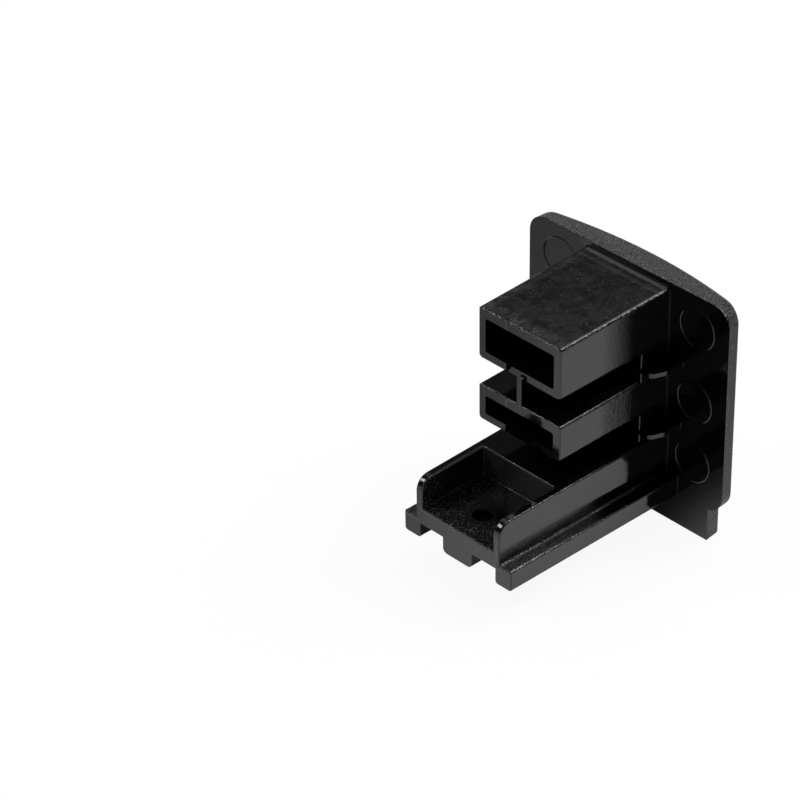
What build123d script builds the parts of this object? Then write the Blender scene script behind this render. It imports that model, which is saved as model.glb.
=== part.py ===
from build123d import *
import os

# End cap for a surface-mounted lighting track, moulded in one piece.
# Millimetres. The origin is the middle of the plate's outline, on the flat back face that meets
# the end of the track. +Y runs into the track, +Z is up, and the cap is the same left and right.

# Plate: the outline that the room sees
plate_width = 35.8
plate_height = 32.1
top_corner_radius = 2.8
shoulder_radius = 3.0
tab_width = 30.9
tab_drop = 5.0

# Plate: its section, flat behind and bowed in front
rim_thickness = 2.0
crown = 2.25
plate_draft = 3.0
front_edge_radius = 0.65

# Two hollow arms, one above the other
arm_length = 20.1
arm_width = 14.8
arm_wall = 1.25
arm_side_draft = 0.3
arm_top_edge_radius = 0.45
arm_bottom_edge_radius = 0.65
arm_end_chamfer = 0.15
opening_corner_radius = 0.35
core_depth = 18.0
core_draft = 0.5
top_arm_inset = 1.15
top_arm_height = 7.8
top_arm_roof = 1.4
top_arm_floor = 1.25
top_arm_face_draft = 0.85
middle_arm_height = 5.5
middle_arm_roof = 1.45
middle_arm_floor = 1.2
middle_arm_face_draft = 0.15
upper_gap = 4.1
lower_gap = 4.2

# Pad under each hollow arm, where the end of its floor is set back
pad_width = 4.8
pad_thickness = 0.28
pad_setback = 0.5

# Web between the hollow arms, block at the roots, and a fin in each gap
web_thickness = 0.85
root_depth = 5.2
fin_span = 20.3
fin_thickness = 0.65
fin_drop = 0.35
fin_lead_width = 0.85
fin_lead_length = 2.1
fin_lead_radius = 1.0

# Lower arm: solid as far as the hollow arms reach, then an open tray
tray_length = 31.4
tray_width = 15.35
tray_side_draft = 0.6
tray_wall = 1.15
tray_depth = 4.45
tray_floor = 2.5
tray_nose_radius = 2.0
tray_edge_radius = 0.25
tray_pocket_radius = 0.3
tray_floor_radius = 0.2

# Rails along the lower arm's sides, and the keel between them
rail_span = 19.7
rail_inner_span = 13.8
rail_drop = 1.75
rail_thickness = 3.15
rail_slope = 0.9
rail_side_draft = 0.25
rail_top_edge_radius = 0.25
rail_bottom_edge_radius = 0.5
rail_end_edge_radius = 0.2
rail_seat_radius = 0.4
keel_width = 5.3
keel_edge_radius = 0.75

# Small chamfer where the arms, the fins and the rails rise from the plate
root_chamfer = 0.2

# Screw hole through the tray's floor and the keel
screw_hole_diameter = 2.8
screw_hole_from_end = 4.7

# Round marks of the ejector pins on the back face, one beside each side of each arm.
# A mark's rise is the height of its middle above the underside of the arm, or above the rail.
mark_diameter = 6.0
mark_depth = 0.1
mark_from_arm = 1.575
mark_rises = (4.05, 2.25, 3.15)

# Levels and planes that follow from the sizes above
plate_top = plate_height / 2
plate_bottom = -plate_height / 2
tab_bottom = plate_bottom - tab_drop
top_arm_top = plate_top - top_arm_inset
top_arm_bottom = top_arm_top - top_arm_height
middle_arm_top = top_arm_bottom - upper_gap
middle_arm_bottom = middle_arm_top - middle_arm_height
tray_top = middle_arm_bottom - lower_gap
tray_floor_top = tray_top - tray_depth
tray_underside = tray_floor_top - tray_floor
rail_top = tray_floor_top - rail_drop
rail_bottom = rail_top - rail_thickness
mark_x = tray_width / 2 + mark_from_arm + mark_diameter / 2
mark_heights = [level + rise for level, rise in zip((top_arm_bottom, middle_arm_bottom, rail_top), mark_rises)]
arm_end = Plane.XZ.offset(-arm_length)
tray_end = Plane.XZ.offset(-tray_length)
root_front = Plane.XZ.offset(-root_depth)

# A rectangle is placed by the middle of its lower edge
FROM_BOTTOM = (Align.CENTER, Align.MIN)


# Plate: the outline pushed out from the back face, then cut to the bowed section seen from above
with BuildPart() as plate:
    with BuildSketch(Plane.XZ) as outline:
        Rectangle(plate_width, plate_height)
        fillet(outline.vertices().group_by(Axis.Y)[-1], top_corner_radius)
        fillet(outline.vertices().group_by(Axis.Y)[0], shoulder_radius)
        with Locations((0, tab_bottom)):
            Rectangle(tab_width, tab_drop + shoulder_radius, align=FROM_BOTTOM)
    extrude(amount=rim_thickness + crown, taper=plate_draft)
    with BuildSketch(Plane.XY.offset(tab_bottom)):
        with BuildLine():
            Polyline(
                (plate_width / 2, -rim_thickness),
                (plate_width / 2, 0),
                (-plate_width / 2, 0),
                (-plate_width / 2, -rim_thickness),
            )
            ThreePointArc(
                (-plate_width / 2, -rim_thickness),
                (0, -rim_thickness - crown),
                (plate_width / 2, -rim_thickness),
            )
        make_face()
    extrude(amount=plate_top - tab_bottom, mode=Mode.INTERSECT)
    bowed_face = plate.faces().filter_by(GeomType.CYLINDER).sort_by(SortBy.AREA)[-1]
    fillet(bowed_face.edges(), front_edge_radius)
    with BuildSketch(Plane.XZ):
        with Locations([(side * mark_x, height) for side in (-1, 1) for height in mark_heights]):
            Circle(mark_diameter / 2)
    extrude(amount=mark_depth, mode=Mode.SUBTRACT)


def long_edges(bar):
    """The edges of a bar that run from one end to the other."""
    ends = bar.faces().sort_by(Axis.Y)
    return bar.edges() - ends[0].edges() - ends[-1].edges()


def arm_body(top, height, floor, face_draft):
    """A drafted bar with rounded edges, and the pad under its floor."""
    bottom = top - height
    with BuildPart() as arm:
        with BuildSketch(arm_end):
            with Locations((0, bottom)):
                Rectangle(arm_width, height, align=FROM_BOTTOM)
        extrude(amount=arm_length)
        draft(arm.faces().filter_by(Axis.X), -arm_end, arm_side_draft)
        draft(arm.faces().sort_by(Axis.Z)[-1], -arm_end, face_draft)
        draft(arm.faces().sort_by(Axis.Z)[0], -arm_end, face_draft)
        fillet(long_edges(arm).group_by(Axis.Z)[-1], arm_top_edge_radius)
        fillet(long_edges(arm).group_by(Axis.Z)[0], arm_bottom_edge_radius)
        chamfer(arm.faces().sort_by(Axis.Y)[-1].edges(), arm_end_chamfer)
        with BuildSketch(root_front):
            with Locations((0, bottom - pad_thickness)):
                Rectangle(pad_width, floor + pad_thickness, align=FROM_BOTTOM)
        extrude(amount=-(arm_length - root_depth))
        with BuildSketch(arm_end):
            with Locations((0, bottom - pad_thickness)):
                Rectangle(pad_width, floor + pad_thickness, align=FROM_BOTTOM)
        extrude(amount=pad_setback, mode=Mode.SUBTRACT)
    return arm.part


def arm_core(top, height, roof, floor):
    """The hollow of an arm, narrowing towards the plate."""
    with BuildPart() as core:
        with BuildSketch(arm_end):
            with Locations((0, top - height + floor)):
                Rectangle(arm_width - 2 * arm_wall, height - floor - roof, align=FROM_BOTTOM)
        extrude(amount=core_depth, taper=core_draft)
        fillet(long_edges(core), opening_corner_radius)
    return core.part


top_arm = arm_body(top_arm_top, top_arm_height, top_arm_floor, top_arm_face_draft)
top_core = arm_core(top_arm_top, top_arm_height, top_arm_roof, top_arm_floor)
middle_arm = arm_body(middle_arm_top, middle_arm_height, middle_arm_floor, middle_arm_face_draft)
middle_core = arm_core(middle_arm_top, middle_arm_height, middle_arm_roof, middle_arm_floor)

# Block that joins the three arms at the plate, its sides in line with theirs
with BuildPart() as root:
    with BuildSketch(arm_end):
        with Locations((0, tray_underside)):
            Rectangle(arm_width, top_arm_bottom + top_arm_floor - tray_underside, align=FROM_BOTTOM)
    extrude(amount=arm_length)
    draft(root.faces().filter_by(Axis.X), -arm_end, arm_side_draft)
    split(bisect_by=root_front, keep=Keep.TOP)

# Fins: one in each gap, as deep as the block, with their front corners led in
with BuildPart() as fins:
    for low, high in ((middle_arm_top, top_arm_bottom), (tray_top, middle_arm_bottom)):
        fin_bottom = (low + high) / 2 - fin_drop - fin_thickness / 2
        with BuildSketch(Plane.XY.offset(fin_bottom)) as fin:
            with BuildLine():
                Polyline(
                    (fin_span / 2, 0),
                    (fin_span / 2, root_depth - fin_lead_length),
                    (fin_span / 2 - fin_lead_width, root_depth),
                    (-fin_span / 2 + fin_lead_width, root_depth),
                    (-fin_span / 2, root_depth - fin_lead_length),
                    (-fin_span / 2, 0),
                    close=True,
                )
            make_face()
            fillet(fin.vertices().filter_by(lambda corner: corner.Y > 0), fin_lead_radius)
        extrude(amount=fin_thickness)

# Web that ties the two hollow arms together along the middle
with BuildPart() as web:
    with BuildSketch(arm_end):
        with Locations((0, middle_arm_top)):
            Rectangle(web_thickness, upper_gap, align=FROM_BOTTOM)
    extrude(amount=arm_length)

# Pocket of the tray, open at the top and at the free end
with BuildPart() as pocket:
    with BuildSketch(tray_end):
        with Locations((0, tray_floor_top)):
            Rectangle(tray_width - 2 * tray_wall, tray_depth, align=FROM_BOTTOM)
    extrude(amount=tray_length - arm_length)
    fillet(pocket.faces().sort_by(Axis.Y)[0].edges().filter_by(Axis.Z), tray_pocket_radius)
    pocket_floor = pocket.faces().sort_by(Axis.Z)[0]
    fillet(pocket_floor.edges() - pocket_floor.edges().group_by(Axis.Y)[-1], tray_floor_radius)

# Lower arm: a drafted bar with the tray sunk into its free end
with BuildPart() as tray:
    with BuildSketch(tray_end):
        with Locations((0, tray_underside)):
            Rectangle(tray_width, tray_top - tray_underside, align=FROM_BOTTOM)
    extrude(amount=tray_length)
    draft(tray.faces().filter_by(Axis.X), -tray_end, tray_side_draft)
    add(pocket.part, mode=Mode.SUBTRACT)
    wall_ends = tray.edges().filter_by(Axis.X).group_by(Axis.Y)[-1].group_by(Axis.Z)[-1]
    fillet(wall_ends, tray_nose_radius)
    top_face = tray.faces().filter_by(Axis.Z).sort_by(Axis.Z)[-1]
    fillet(top_face.edges() - top_face.edges().filter_by(Axis.X), tray_edge_radius)

# Rails: one bar a side, climbing a little towards its free end
with BuildPart() as rails:
    with BuildSketch(tray_end):
        with Locations(((rail_span + rail_inner_span) / 4, rail_bottom)):
            Rectangle((rail_span - rail_inner_span) / 2, rail_thickness, align=FROM_BOTTOM)
    extrude(amount=tray_length)
    draft(rails.faces().sort_by(Axis.X)[-1], -tray_end, rail_side_draft)
    draft(rails.faces().sort_by(Axis.Z)[-1], -tray_end, -rail_slope)
    draft(rails.faces().sort_by(Axis.Z)[0], -tray_end, rail_slope)
    rail_edges = long_edges(rails).sort_by(Axis.Z)
    fillet(rail_edges[:2], rail_bottom_edge_radius)
    fillet(rail_edges[2:].sort_by(Axis.X)[-1], rail_top_edge_radius)
    fillet(rails.faces().sort_by(Axis.Y)[-1].edges(), rail_end_edge_radius)
    mirror(about=Plane.YZ)

# Keel between the rails
with BuildPart() as keel:
    with BuildSketch(tray_end):
        with Locations((0, rail_bottom)):
            Rectangle(keel_width, tray_underside - rail_bottom, align=FROM_BOTTOM)
    extrude(amount=tray_length)
    draft(keel.faces().sort_by(Axis.Z)[0], -tray_end, rail_slope)
    fillet(long_edges(keel).group_by(Axis.Z)[0], keel_edge_radius)


def is_rail_seat(edge):
    """True for the long edge where a rail's top meets the side of the lower arm."""
    middle = edge.center()
    beside_wall = tray_width / 2 < abs(middle.X) < (tray_width + rail_span) / 4
    return edge.length > arm_length and beside_wall and rail_bottom < middle.Z < tray_floor_top


# The whole cap: its parts joined, the arms hollowed out and the screw hole through the tray's floor
with BuildPart() as end_cap:
    add(plate.part)
    add(top_arm)
    add(middle_arm)
    add(root.part)
    add(fins.part)
    add(web.part)
    add(tray.part)
    add(rails.part)
    add(keel.part)
    add(top_core, mode=Mode.SUBTRACT)
    add(middle_core, mode=Mode.SUBTRACT)
    rail_seats = end_cap.edges().filter_by(is_rail_seat)
    fillet(rail_seats, rail_seat_radius)
    back_face = end_cap.faces().filter_by(Axis.Y).sort_by(SortBy.AREA)[-1]
    root_outline = back_face.inner_wires().sort_by(SortBy.LENGTH)[-1]
    chamfer(root_outline.edges(), root_chamfer)
    with Locations((0, tray_length - screw_hole_from_end, tray_floor_top)):
        Hole(screw_hole_diameter / 2)

end_cap.part.label = "end_cap"
os.makedirs("parts", exist_ok=True)
export_step(end_cap.part, "parts/end_cap.step")
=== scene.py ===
import math

import bpy
from mathutils import Matrix, Vector


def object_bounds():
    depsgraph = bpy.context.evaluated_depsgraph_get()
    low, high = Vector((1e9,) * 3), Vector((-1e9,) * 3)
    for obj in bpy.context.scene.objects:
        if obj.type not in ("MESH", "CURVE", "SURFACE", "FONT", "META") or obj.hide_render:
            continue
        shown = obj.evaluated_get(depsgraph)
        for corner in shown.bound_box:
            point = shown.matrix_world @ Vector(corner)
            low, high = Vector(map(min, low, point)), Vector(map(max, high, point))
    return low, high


# End cap for a surface-mounted lighting track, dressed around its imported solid.
# Metres, in the part's own frame: the plate's flat back face lies at y = 0, and +Y runs into the track.
# The materials work in millimetres.
# Two numbers in a row: where a zone starts and where it is full.
# Four numbers: where it starts, where it is full, where it starts to fade and where it has ended.
# Four numbers called a step: where the step starts and ends, and its value at each.

MM = 0.001

# Camera: the photograph's viewing angle in degrees, with the lens and sensor in millimetres
CAMERA_PLACE = Vector((-0.2738, 0.29963, 0.2707))
CAMERA_AZIMUTH = 226.657
CAMERA_ELEVATION = 34.291
CAMERA_ROLL = 0.861
CAMERA_LENS = 165.08
SENSOR_WIDTH = 36.0
NEAREST_SEEN = 0.01
FARTHEST_SEEN = 20.0

# Stage: a white floor, with a share of its real shade kept
FLOOR_HALF_WIDTH = 3.0
FLOOR_COLOUR = 0.85
FLOOR_SHADOW_SHARE = 0.07

# Floor in reflections: its level along the light side in millimetres, and the shade under the cap
LIGHT_SIDE = (-0.8, 0.6, 0.0)
NEAR_STEP = (-48.0, -14.0, 0.05, 0.52)
FAR_STEP = (0.0, 22.0, 0.0, 0.70)
BEYOND_STEP = (-70.0, -110.0, 0.0, 0.55)
SHADE_WIDTHS = (17.0, 5.5)
SHADE_DEPTHS = (-9.0, -3.0, 31.0, 37.0)
SHADE_LEVEL = 0.12
SECOND_BOUNCE = 1.5
SECOND_GLOSS = 0.25

# Studio: a dim room, white along the horizon, a soft box overhead, and two lamps in metres and watts
HORIZON_STEP = (0.03, 0.12, 1.0, 0.09)
OVERHEAD_DIRECTION = (0.0, -0.35, 0.94)
OVERHEAD_STEP = (0.74, 0.94, 0.0, 2.5)
LAMP_DISTANCE = 0.9
FRONT_DIRECTION = (0.56, 0.50, 0.67)
FRONT_SIZE = 0.25
FRONT_POWER = 2.2
KEY_DIRECTION = (-0.30, -0.60, 0.74)
KEY_SIZE = 0.40
KEY_POWER = 4.8

# Black plastic: how much light it scatters, and how much more in each zone; on the top face, in the tray
# and on the band above the top arm the extra is painted sheen and highlight
TINT = (1.02, 0.94, 1.05)
BLACK = 0.0021
# Painted sheen on the top arm's upper face: lighter all over, in clouds and specks, and along its front and
# side margin
TOP_PAINTED_SHEEN = 0.003
CLOUD_PAINTED_SHEEN = 0.0085
SPECK_PAINTED_SHEEN = 0.02
# Painted sheen in the tray: the faces looking along the arms and the faces looking sideways are lightened
# by the way they face
BLOCK_PAINTED_SHEEN = 0.018
WALL_PAINTED_SHEEN = 0.005
DOT_HAZE = 0.062
# Painted highlight on the band of the plate's back just above the top arm
BAND_PAINTED_HIGHLIGHT = 0.030
GRAIN_HAZE = 0.042
FEWEST_DOTS = 0.35
FOOT_DOTS = 0.25
BLOTCH_DOTS = 0.5

# Black plastic: refraction, shine and roughness
REFRACTIVE_INDEX = 1.47
PLASTIC_SHINE = 0.5
TRAY_SHINE = 0.08
ROOT_SHINE = 0.09
GLOSS_ROUGHNESS = 0.07
GLOSS_DRIFT = 0.08
DRIFT_MIDDLE = 0.5
TRAY_ROUGHNESS = 0.20
EDGE_ROUGHNESS = 0.24
FOOT_ROUGHNESS = 0.09
BLOTCH_DULLING = 0.6
SIDE_ROUGHNESS = 0.185
GRAIN_ROUGHNESS = 0.26
ROOT_ROUGHNESS = 0.5

# Noise: scale per millimetre, detail and roughness
SWELL_NOISE = (0.9, 2.0, 0.5)
RIPPLE_NOISE = (2.4, 2.0, 0.6)
TOOTH_NOISE = (4.2, 1.0, 0.5)
GRAIN_NOISE = (3.8, 2.0, 0.6)
DRIFT_NOISE = (1.3, 3.0, 0.6)
ROOT_NOISE = (4.0, 2.0, 0.5)

# Patterns of noise: the same, then the level where the pattern starts and the one where it is full
PATCHES = (0.55, 3.0, 0.6, 0.42, 0.62)
SPECKS = (3.1, 2.0, 0.5, 0.66, 0.78)
CLOUDS = (0.50, 5.0, 0.68, 0.40, 0.62)
CRUMBS = (3.4, 2.0, 0.6, 0.48, 0.68)
DOTS = (2.8, 3.0, 0.7, 0.46, 0.68)
WEAR = (0.8, 2.0, 0.5, 0.4, 0.6)

# Heights of the relief in millimetres, and how much more in each zone
SWELL_HEIGHT = 0.009
TOP_SWELL = 0.008
BLOTCH_SWELL = 0.010
RIPPLE_HEIGHT = 0.0006
TOP_RIPPLE = 0.003
BLOTCH_RIPPLE = 0.007
TOOTH_HEIGHT = 0.0003
MARGIN_TOOTH = 0.05
BLOTCH_TOOTH = 0.045
NOSE_TOOTH = 0.012
SIDE_TOOTH = 0.022
EDGE_TOOTH = 0.09
TRAY_TOOTH = 0.10
FOOT_TOOTH = 0.08
TOP_SPECKS = 0.02
TRAY_SPECKS = 0.03
GRAIN_HEIGHT = 0.32
ROOT_HEIGHT = 0.03

# Plate: its zones in millimetres
ROOT_CHAMFER = 0.2
GRAIN_DEPTHS = (-0.12, -0.3)
RIM_EDGE_DEPTHS = (-0.5, -0.3, -0.06, 0.0)
# The band of plate above the top arm, painted lighter as a highlight
BAND_LEVELS = (14.8, 15.0)
BAND_DEPTHS = (-0.3, -0.1)
BAND_WIDTHS = (-9.0, 5.0, 7.0, 9.5)

# Hollow arms: their zones in millimetres
ARM_END = 20.1
ARM_HALF_WIDTH = 7.4
TOP_FACE_LEVELS = (14.1, 14.2)
HOLLOW_ARMS_LEVELS = (-3.7, -3.5)
MIDDLE_ARM_LEVELS = (-2.8, -2.6, 3.2, 3.4)
BLOTCH_DEPTHS = (4.0, 10.0, 11.0, 14.0)
DULL_SIDE_DEPTHS = (5.0, 8.0, 11.0, 14.0)
FRONT_MARGIN = (ARM_END - 2.8, ARM_END - 0.6)
SIDE_MARGIN = (ARM_HALF_WIDTH - 2.2, ARM_HALF_WIDTH - 0.4)
SIDE_MARGIN_DEPTHS = (9.0, 17.0)
MARGIN_STEP = (-6.0, 1.0, 0.55, 1.0)

# Tray: its zones in millimetres
TRAY_END = 31.4
TRAY_TOP = -6.4
TRAY_FLOOR = -10.9
TRAY_UNDERSIDE = -13.0
TRAY_HALF_WIDTH = 6.6
TRAY_WIDTHS = (TRAY_HALF_WIDTH + 0.2, TRAY_HALF_WIDTH)
TRAY_DEPTHS = (ARM_END - 0.2, ARM_END)
TRAY_LEVELS = (TRAY_FLOOR - 0.6, TRAY_FLOOR - 0.4, TRAY_TOP, TRAY_TOP + 0.2)
TRAY_DOTS_DEPTHS = (TRAY_END - 7.0, TRAY_END - 0.5)
TRAY_DOTS_STEP = (-3.0, 7.0, 0.0, 0.6)
TRAY_DOTS_LEVELS = (TRAY_FLOOR + 1.6, TRAY_FLOOR + 0.4)
NOSE_DEPTHS = (TRAY_END - 2.3, TRAY_END - 2.1)
NOSE_LEVELS = (TRAY_TOP - 3.2, TRAY_TOP - 2.8)
FOOT_LEVELS = (-13.4, -13.2, -11.6, -10.2)
FOOT_WIDTHS = (7.1, 7.3, 9.5, 9.7)
FOOT_DEPTHS = (12.0, 22.0)

# Shaped relief of the arms, the block between them and the line of the mould's core, in millimetres
SIDE_LEAN = 0.034
FREE_END_STEP = (ARM_END - 2.2, ARM_END, 0.0, -0.08)
SIDE_LIP_STEP = (ARM_HALF_WIDTH - 1.8, ARM_HALF_WIDTH, 0.0, 0.03)
PLATE_END_STEP = (1.5, 2.3, 0.03, 0.0)
BLOCK_FRONT = 5.2
BLOCK_EDGE_STEP = (BLOCK_FRONT - 0.22, BLOCK_FRONT + 0.05, 0.0, -0.17)
UPPER_GAP_LEVELS = (2.8, 2.9, 7.2, 7.3)
LOWER_GAP_LEVELS = (-6.9, -6.8, -2.4, -2.3)
WITNESS_X = 2.4
WITNESS_STEP = (0.2, 0.0, 0.0, -0.12)
WITNESS_DEPTHS = (ARM_END - 0.3, ARM_END - 0.2, ARM_END + 0.2, ARM_END + 0.3)

# Round ejector marks on the back face, in millimetres
MARK_RADIUS = 3.0
MARK_X = 12.25
MARK_HEIGHTS = (11.15, -0.25, -9.75)
RIDGE_STEP = (0.18, 0.0, 0.0, 0.10)
RIDGE_DEPTHS = (0.4, 0.2)

# Directions: how far a face points along an axis, from 0 to 1
FACING = (0.6, 0.8)
SLANTED = (0.992, 0.965)
ROOT_FACING = 0.5
TRAY_FLOOR_FACING = 0.9

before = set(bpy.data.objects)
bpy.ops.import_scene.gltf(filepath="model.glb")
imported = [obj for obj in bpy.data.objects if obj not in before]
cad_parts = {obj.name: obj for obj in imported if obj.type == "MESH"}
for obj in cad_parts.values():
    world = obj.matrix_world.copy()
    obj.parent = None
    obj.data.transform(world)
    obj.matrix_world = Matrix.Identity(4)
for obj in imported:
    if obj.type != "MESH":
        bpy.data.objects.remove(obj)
cad_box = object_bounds()
scene = bpy.context.scene


class Nodes:
    """Adds nodes to a tree and links them, so that a material reads as a few short lines."""

    def __init__(self, tree):
        self.tree = tree
        tree.nodes.clear()

    def add(self, kind, **settings):
        """A node of that kind: inputs by name, and its own settings with a leading underscore."""
        node = self.tree.nodes.new(kind)
        for name, value in settings.items():
            if name.startswith("_"):
                setattr(node, name[1:], value)
        for name, value in settings.items():
            if not name.startswith("_"):
                self.plug(value, node.inputs[name.replace("__", " ")])
        return node

    def plug(self, value, socket):
        if isinstance(value, bpy.types.NodeSocket):
            self.tree.links.new(value, socket)
        else:
            socket.default_value = value

    def math(self, operation, first, second=0.0, third=0.0):
        node = self.tree.nodes.new("ShaderNodeMath")
        node.operation = operation
        for value, socket in zip((first, second, third), node.inputs):
            self.plug(value, socket)
        return node.outputs[0]

    def product(self, first, *rest):
        for factor in rest:
            first = self.math("MULTIPLY", first, factor)
        return first

    def total(self, first, *rest):
        for term in rest:
            first = self.math("ADD", first, term)
        return first

    def absolute(self, value):
        return self.math("ABSOLUTE", value)

    def either(self, first, second):
        return self.math("MAXIMUM", first, second)

    def outside(self, mask):
        return self.math("SUBTRACT", 1.0, mask)

    def lift(self, base, *gains):
        """The base plus each gain's amount where that gain's mask is 1."""
        for mask, amount in gains:
            base = self.math("MULTIPLY_ADD", mask, amount, base)
        return base

    def blend(self, share, first, second):
        """The first value where share is 0, and the second where it is 1."""
        node = self.add("ShaderNodeMix", _data_type="FLOAT", Factor=share)
        self.plug(first, node.inputs[2])
        self.plug(second, node.inputs[3])
        return node.outputs[0]

    def step(self, value, low, high, start=0.0, end=1.0):
        """Runs smoothly from start to end as value goes from low to high."""
        node = self.tree.nodes.new("ShaderNodeMapRange")
        node.interpolation_type = "SMOOTHSTEP"
        for item, socket in zip((value, low, high, start, end), node.inputs):
            self.plug(item, socket)
        return node.outputs[0]

    def between(self, value, low, full, still_full, high):
        """1 between the two middle levels, fading to 0 at the outer ones."""
        return self.product(self.step(value, low, full), self.step(value, high, still_full))

    def noise(self, place, scale, detail, roughness):
        node = self.add("ShaderNodeTexNoise", Vector=place, Scale=scale, Detail=detail, Roughness=roughness)
        return node.outputs["Fac"]

    def pattern(self, place, scale, detail, roughness, low, high):
        """Noise drawn out to run from 0 to 1 between two of its levels."""
        return self.step(self.noise(place, scale, detail, roughness), low, high)

    def scaled(self, vector, factor):
        node = self.add("ShaderNodeVectorMath", _operation="SCALE", Scale=factor)
        self.plug(vector, node.inputs[0])
        return node.outputs[0]

    def dot(self, first, second):
        node = self.add("ShaderNodeVectorMath", _operation="DOT_PRODUCT")
        self.plug(first, node.inputs[0])
        self.plug(second, node.inputs[1])
        return node.outputs["Value"]

    def split(self, vector):
        return self.add("ShaderNodeSeparateXYZ", Vector=vector).outputs

    def place(self):
        """The point's place in the part's frame, in millimetres."""
        return self.scaled(self.add("ShaderNodeTexCoord").outputs["Object"], 1 / MM)


class Surface:
    """What the moulding's material knows of a point: its place, its face's direction and its zones.

    A zone is a mask, 1 inside and 0 outside.
    """

    def __init__(self, n):
        self.place = n.place()
        self.x, self.y, self.z = n.split(self.place)
        self.side = n.absolute(self.x)
        self.normal = n.split(n.add("ShaderNodeNewGeometry").outputs["True Normal"])
        self.sideways = n.step(n.absolute(self.normal[0]), *FACING)
        self.endways = n.step(n.absolute(self.normal[1]), *FACING)
        self.patches = n.pattern(self.place, *PATCHES)
        self.specks = n.pattern(self.place, *SPECKS)
        self.find_plate_zones(n)
        self.find_arm_zones(n)
        self.find_tray_zones(n)

    def find_plate_zones(self, n):
        """The grained rim and face, the rim's inner edge, and the band of plate above the top arm, where a
        highlight is painted.
        """
        self.grained = n.step(self.y, *GRAIN_DEPTHS)
        self.rim_edge = n.product(n.between(self.y, *RIM_EDGE_DEPTHS), n.outside(self.endways))
        highlight_band = n.product(self.endways, n.step(self.z, *BAND_LEVELS), n.step(self.y, *BAND_DEPTHS))
        self.highlight_band = n.product(highlight_band, n.between(self.x, *BAND_WIDTHS))

    def find_arm_zones(self, n):
        """The top arm's upper face and its margin, where a sheen is painted, the arms' sides and the
        blotches on one of them.
        """
        self.top_face = n.product(n.step(self.z, *TOP_FACE_LEVELS), n.step(self.normal[2], *FACING))
        # The margin along the top face's front and outer side: rougher in the relief, and painted lighter
        # as a sheen
        side_margin = n.product(n.step(self.x, *SIDE_MARGIN), n.step(self.y, *SIDE_MARGIN_DEPTHS))
        margin = n.either(n.step(self.y, *FRONT_MARGIN), side_margin)
        margin = n.product(margin, self.top_face, n.step(self.x, *MARGIN_STEP))
        self.sheen_margin = n.product(margin, self.patches)
        self.hollow_arms = n.step(self.z, *HOLLOW_ARMS_LEVELS)
        self.dull_side = n.product(self.sideways, self.hollow_arms, n.between(self.y, *DULL_SIDE_DEPTHS))
        middle_arm = n.between(self.z, *MIDDLE_ARM_LEVELS)
        self.blotched = n.product(middle_arm, n.between(self.y, *BLOTCH_DEPTHS))

    def find_tray_zones(self, n):
        """The tray's inside and its dotted front, its walls' foot and ends, and the rough edges."""
        in_plan = n.product(n.step(self.side, *TRAY_WIDTHS), n.step(self.y, *TRAY_DEPTHS))
        self.in_tray = n.product(in_plan, n.between(self.z, *TRAY_LEVELS))
        dotted_side = n.product(n.step(self.x, *TRAY_DOTS_STEP), n.step(self.z, *TRAY_DOTS_LEVELS))
        self.tray_front = n.product(self.in_tray, n.either(n.step(self.y, *TRAY_DOTS_DEPTHS), dotted_side))
        wall_foot = n.product(n.between(self.z, *FOOT_LEVELS), n.between(self.side, *FOOT_WIDTHS))
        self.wall_foot = n.product(wall_foot, n.step(self.y, *FOOT_DEPTHS))
        self.nose = n.product(n.step(self.y, *NOSE_DEPTHS), n.step(self.z, *NOSE_LEVELS))
        self.rough_edge = n.product(slanted(n, self.normal), n.outside(self.nose))


def slanted(n, normal):
    """1 on the rounded and chamfered edges, whose faces point along no axis, and 0 elsewhere."""
    most = 0.0
    for part in normal:
        most = n.either(most, n.absolute(part))
    return n.step(most, *SLANTED)


def side_lean(n, at):
    """Height that leans the hollow arms' sides a little further than their straight draft."""
    return n.product(n.math("MULTIPLY", at.y, -SIDE_LEAN), at.hollow_arms)


def top_roll(n, at):
    """Height of the top arm's upper face: it falls off at the free end and past a step near the plate."""
    ends = n.total(n.step(at.y, *FREE_END_STEP), n.step(at.x, *SIDE_LIP_STEP))
    return n.product(n.total(ends, n.step(at.y, *PLATE_END_STEP)), at.top_face)


def block_edge(n, at):
    """Height that eases the block's two front corners in the gaps between the arms."""
    in_gap = n.either(n.between(at.z, *UPPER_GAP_LEVELS), n.between(at.z, *LOWER_GAP_LEVELS))
    return n.product(n.step(at.y, *BLOCK_EDGE_STEP), in_gap, at.sideways)


def witness_line(n, at):
    """Height of the fine line that the mould's core leaves across the hollow arms' ends."""
    on_end = n.product(n.between(at.y, *WITNESS_DEPTHS), n.step(at.normal[1], *FACING))
    off = n.absolute(n.math("SUBTRACT", at.x, WITNESS_X))
    return n.product(n.step(off, *WITNESS_STEP), on_end)


def mark_ridges(n, at):
    """Height of the thin raised rim round each ejector mark on the back face."""
    ridges = 0.0
    across = n.math("SUBTRACT", at.side, MARK_X)
    for level in MARK_HEIGHTS:
        up = n.math("SUBTRACT", at.z, level)
        distance = n.math("SQRT", n.total(n.product(across, across), n.product(up, up)))
        off = n.absolute(n.math("SUBTRACT", distance, MARK_RADIUS))
        ridges = n.total(ridges, n.step(off, *RIDGE_STEP))
    return n.product(ridges, n.step(n.absolute(at.y), *RIDGE_DEPTHS))


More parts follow.
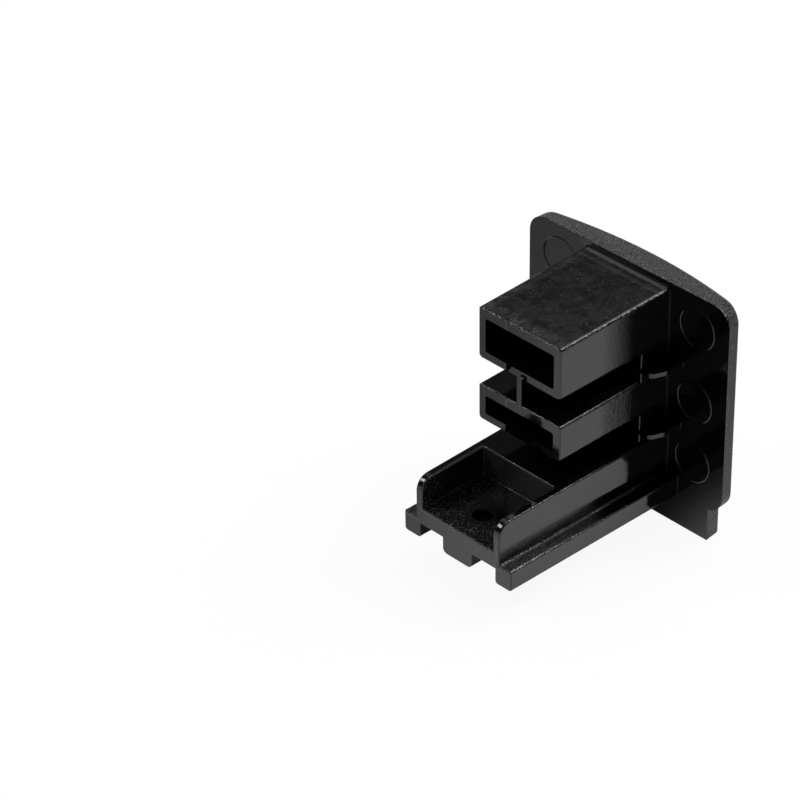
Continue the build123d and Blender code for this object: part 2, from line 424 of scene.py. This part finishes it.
def relief(n, at):
    """Height of the glossy surface: slow swells, ripples, a fine tooth, specks and the shaped relief."""
    swell = n.lift(SWELL_HEIGHT, (at.top_face, TOP_SWELL), (at.blotched, BLOTCH_SWELL))
    ripple = n.lift(RIPPLE_HEIGHT, (at.top_face, TOP_RIPPLE), (at.blotched, BLOTCH_RIPPLE))
    tooth = n.lift(
        TOOTH_HEIGHT,
        (at.sheen_margin, MARGIN_TOOTH),
        (at.blotched, BLOTCH_TOOTH),
        (at.nose, NOSE_TOOTH),
        (at.dull_side, SIDE_TOOTH),
        (at.rough_edge, EDGE_TOOTH),
        (at.tray_front, TRAY_TOOTH),
        (at.wall_foot, FOOT_TOOTH),
    )
    specks = n.lift(0.0, (at.top_face, TOP_SPECKS), (at.in_tray, TRAY_SPECKS))
    return n.total(
        n.product(n.noise(at.place, *SWELL_NOISE), swell),
        n.product(n.noise(at.place, *RIPPLE_NOISE), ripple),
        n.product(n.noise(at.place, *TOOTH_NOISE), tooth),
        n.product(at.specks, specks),
        side_lean(n, at),
        top_roll(n, at),
        mark_ridges(n, at),
        block_edge(n, at),
        witness_line(n, at),
    )


def roughness(n, at):
    """Low and drifting a little on the gloss, and higher where the mould was worn or grained."""
    drift = n.math("SUBTRACT", n.noise(at.place, *DRIFT_NOISE), DRIFT_MIDDLE)
    level = n.math("MULTIPLY_ADD", drift, GLOSS_DRIFT, GLOSS_ROUGHNESS)
    level = n.blend(at.in_tray, level, TRAY_ROUGHNESS)
    level = n.blend(n.product(at.rough_edge, n.pattern(at.place, *WEAR)), level, EDGE_ROUGHNESS)
    level = n.blend(n.either(at.wall_foot, n.product(at.blotched, BLOTCH_DULLING)), level, FOOT_ROUGHNESS)
    level = n.blend(at.dull_side, level, SIDE_ROUGHNESS)
    return n.blend(at.grained, level, GRAIN_ROUGHNESS)


def haze(n, at):
    """Share of light that the black scatters: crumbed in the grain and dotted in the tray, with a painted
    sheen on the top face and the tray's faces, and a painted highlight on the band above the top arm.
    """
    clouds = n.pattern(at.place, *CLOUDS)
    crumbs = n.pattern(at.place, *CRUMBS)
    dots = n.product(n.pattern(at.place, *DOTS), n.lift(FEWEST_DOTS, (at.patches, 1.0 - FEWEST_DOTS)))
    dotted = n.lift(0.0, (at.tray_front, 1.0), (at.wall_foot, FOOT_DOTS), (at.blotched, BLOTCH_DOTS))
    return n.lift(
        BLACK,
        # Painted sheen: the top arm's upper face is lighter all over, in clouds and specks, and along its
        # margin
        (at.top_face, TOP_PAINTED_SHEEN),
        (n.product(at.top_face, clouds), CLOUD_PAINTED_SHEEN),
        (at.sheen_margin, CLOUD_PAINTED_SHEEN),
        (n.product(at.top_face, at.specks), SPECK_PAINTED_SHEEN),
        (n.product(at.grained, crumbs), GRAIN_HAZE),
        (n.product(at.rim_edge, crumbs), GRAIN_HAZE),
        (n.product(dotted, dots), DOT_HAZE),
        # Painted sheen in the tray: its faces are lightened by the way they face
        (n.product(at.in_tray, at.endways), BLOCK_PAINTED_SHEEN),
        (n.product(at.in_tray, at.sideways), WALL_PAINTED_SHEEN),
        # Painted highlight on the band of plate above the top arm
        (at.highlight_band, BAND_PAINTED_HIGHLIGHT),
    )


def new_material(name):
    material = bpy.data.materials.new(name)
    material.use_nodes = True
    return material, Nodes(material.node_tree)


def plastic(n, colour, rough, shine, height):
    """The plastic's shader, with a bump from a height in millimetres."""
    bump = n.add("ShaderNodeBump", Strength=1.0, Distance=MM, Height=height)
    shader = n.add("ShaderNodeBsdfPrincipled", Base__Color=colour, Roughness=rough, Normal=bump.outputs[0])
    n.plug(REFRACTIVE_INDEX, shader.inputs["IOR"])
    n.plug(shine, shader.inputs["Specular IOR Level"])
    n.add("ShaderNodeOutputMaterial", Surface=shader.outputs[0])


def moulding_material(name, shine):
    """Black plastic: glossy, mottled and specked behind, with painted sheen and highlight in some zones,
    and grained on the plate's rim and bowed face.
    """
    material, n = new_material(name)
    at = Surface(n)
    grain = n.product(n.noise(at.place, *GRAIN_NOISE), GRAIN_HEIGHT)
    height = n.blend(at.grained, relief(n, at), grain)
    plastic(n, n.scaled(TINT, haze(n, at)), roughness(n, at), shine, height)
    return material


def root_material():
    """The narrow line where the arms rise from the plate: duller, as the corner of a mould is."""
    material, n = new_material("root_line")
    height = n.product(n.noise(n.place(), *ROOT_NOISE), ROOT_HEIGHT)
    plastic(n, (BLACK, BLACK, BLACK, 1.0), ROOT_ROUGHNESS, ROOT_SHINE, height)
    return material


def floor_gloss(n, path):
    """The floor's level in reflections: bright beyond the cap, dim on its shaded side and under it."""
    place = n.place()
    x, y = n.split(place)[:2]
    along = n.dot(place, LIGHT_SIDE)
    level = n.total(n.step(along, *NEAR_STEP), n.step(along, *FAR_STEP), n.step(along, *BEYOND_STEP))
    under = n.product(n.step(n.absolute(x), *SHADE_WIDTHS), n.between(y, *SHADE_DEPTHS))
    second = n.math("GREATER_THAN", path.outputs["Glossy Depth"], SECOND_BOUNCE)
    return n.product(level, n.blend(under, 1.0, SHADE_LEVEL), n.blend(second, 1.0, SECOND_GLOSS))


def floor_material():
    """White, and brought to a clean white for the camera, with a share of the real shade kept."""
    material, n = new_material("white_floor")
    path = n.add("ShaderNodeLightPath")
    gloss = path.outputs["Is Glossy Ray"]
    seen = n.either(n.either(path.outputs["Is Camera Ray"], gloss), path.outputs["Is Transmission Ray"])
    matte = n.add("ShaderNodeBsdfDiffuse", Color=(FLOOR_COLOUR, FLOOR_COLOUR, FLOOR_COLOUR, 1.0))
    white = n.add("ShaderNodeEmission", Strength=n.blend(gloss, 1.0, floor_gloss(n, path)))
    mix = n.add("ShaderNodeMixShader", Fac=n.product(seen, 1.0 - FLOOR_SHADOW_SHARE))
    n.plug(matte.outputs[0], mix.inputs[1])
    n.plug(white.outputs[0], mix.inputs[2])
    n.add("ShaderNodeOutputMaterial", Surface=mix.outputs[0])
    return material


def make_world():
    """White for the camera, and the studio's room, horizon and overhead soft box for light and gloss."""
    world = bpy.data.worlds.new("studio")
    world.use_nodes = True
    n = Nodes(world.node_tree)
    direction = n.add("ShaderNodeTexCoord").outputs["Generated"]
    room = n.step(n.split(direction)[2], *HORIZON_STEP)
    overhead = n.step(n.dot(direction, Vector(OVERHEAD_DIRECTION).normalized()), *OVERHEAD_STEP)
    camera = n.add("ShaderNodeLightPath").outputs["Is Camera Ray"]
    background = n.add("ShaderNodeBackground", Strength=n.blend(camera, n.total(room, overhead), 1.0))
    n.add("ShaderNodeOutputWorld", Surface=background.outputs[0])
    scene.world = world


def make_floor():
    bpy.ops.mesh.primitive_plane_add(size=2 * FLOOR_HALF_WIDTH, location=(0, 0, cad_box[0].z))
    floor = bpy.context.object
    floor.name = "floor"
    floor.data.materials.append(floor_material())


def soft_light(name, direction, size, power):
    """A square soft box in that direction from the part, facing it."""
    lamp = bpy.data.lights.new(name, "AREA")
    lamp.shape = "SQUARE"
    lamp.size = size
    lamp.energy = power
    box = bpy.data.objects.new(name, lamp)
    outward = Vector(direction).normalized()
    box.location = outward * LAMP_DISTANCE
    box.rotation_mode = "QUATERNION"
    box.rotation_quaternion = outward.to_track_quat("Z", "Y")
    scene.collection.objects.link(box)


def make_camera():
    data = bpy.data.cameras.new("camera")
    data.sensor_width = SENSOR_WIDTH
    data.lens = CAMERA_LENS
    data.clip_start = NEAREST_SEEN
    data.clip_end = FARTHEST_SEEN
    camera = bpy.data.objects.new("camera", data)
    azimuth = math.radians(CAMERA_AZIMUTH)
    elevation = math.radians(CAMERA_ELEVATION)
    level = math.cos(elevation)
    forward = Vector((-math.sin(azimuth) * level, math.cos(azimuth) * level, -math.sin(elevation)))
    turn = Matrix.Rotation(math.radians(CAMERA_ROLL), 4, forward)
    upright = forward.to_track_quat("-Z", "Y").to_matrix().to_4x4()
    camera.matrix_world = Matrix.Translation(CAMERA_PLACE) @ turn @ upright
    scene.collection.objects.link(camera)
    scene.camera = camera


def is_root_line(face):
    """True for the faces of the chamfer between the plate's back and what rises from it."""
    off_plate = max(abs(face.normal.x), abs(face.normal.z))
    return 0.0 < face.center.y < ROOT_CHAMFER * MM and off_plate > ROOT_FACING


def is_tray_floor(face):
    """True for the faces of the open tray's floor."""
    x, y, z = face.center / MM
    in_plan = abs(x) < TRAY_HALF_WIDTH and ARM_END < y < TRAY_END
    return in_plan and TRAY_UNDERSIDE < z < TRAY_FLOOR and face.normal.z > TRAY_FLOOR_FACING


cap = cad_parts["end_cap"]
cap.data.materials.clear()
cap.data.materials.append(moulding_material("black_moulding", PLASTIC_SHINE))
cap.data.materials.append(root_material())
cap.data.materials.append(moulding_material("tray_moulding", TRAY_SHINE))
for face in cap.data.polygons:
    if is_root_line(face):
        face.material_index = 1
    elif is_tray_floor(face):
        face.material_index = 2

make_world()
make_floor()
soft_light("front", FRONT_DIRECTION, FRONT_SIZE, FRONT_POWER)
soft_light("key", KEY_DIRECTION, KEY_SIZE, KEY_POWER)
make_camera()

scene.view_settings.view_transform = "Standard"
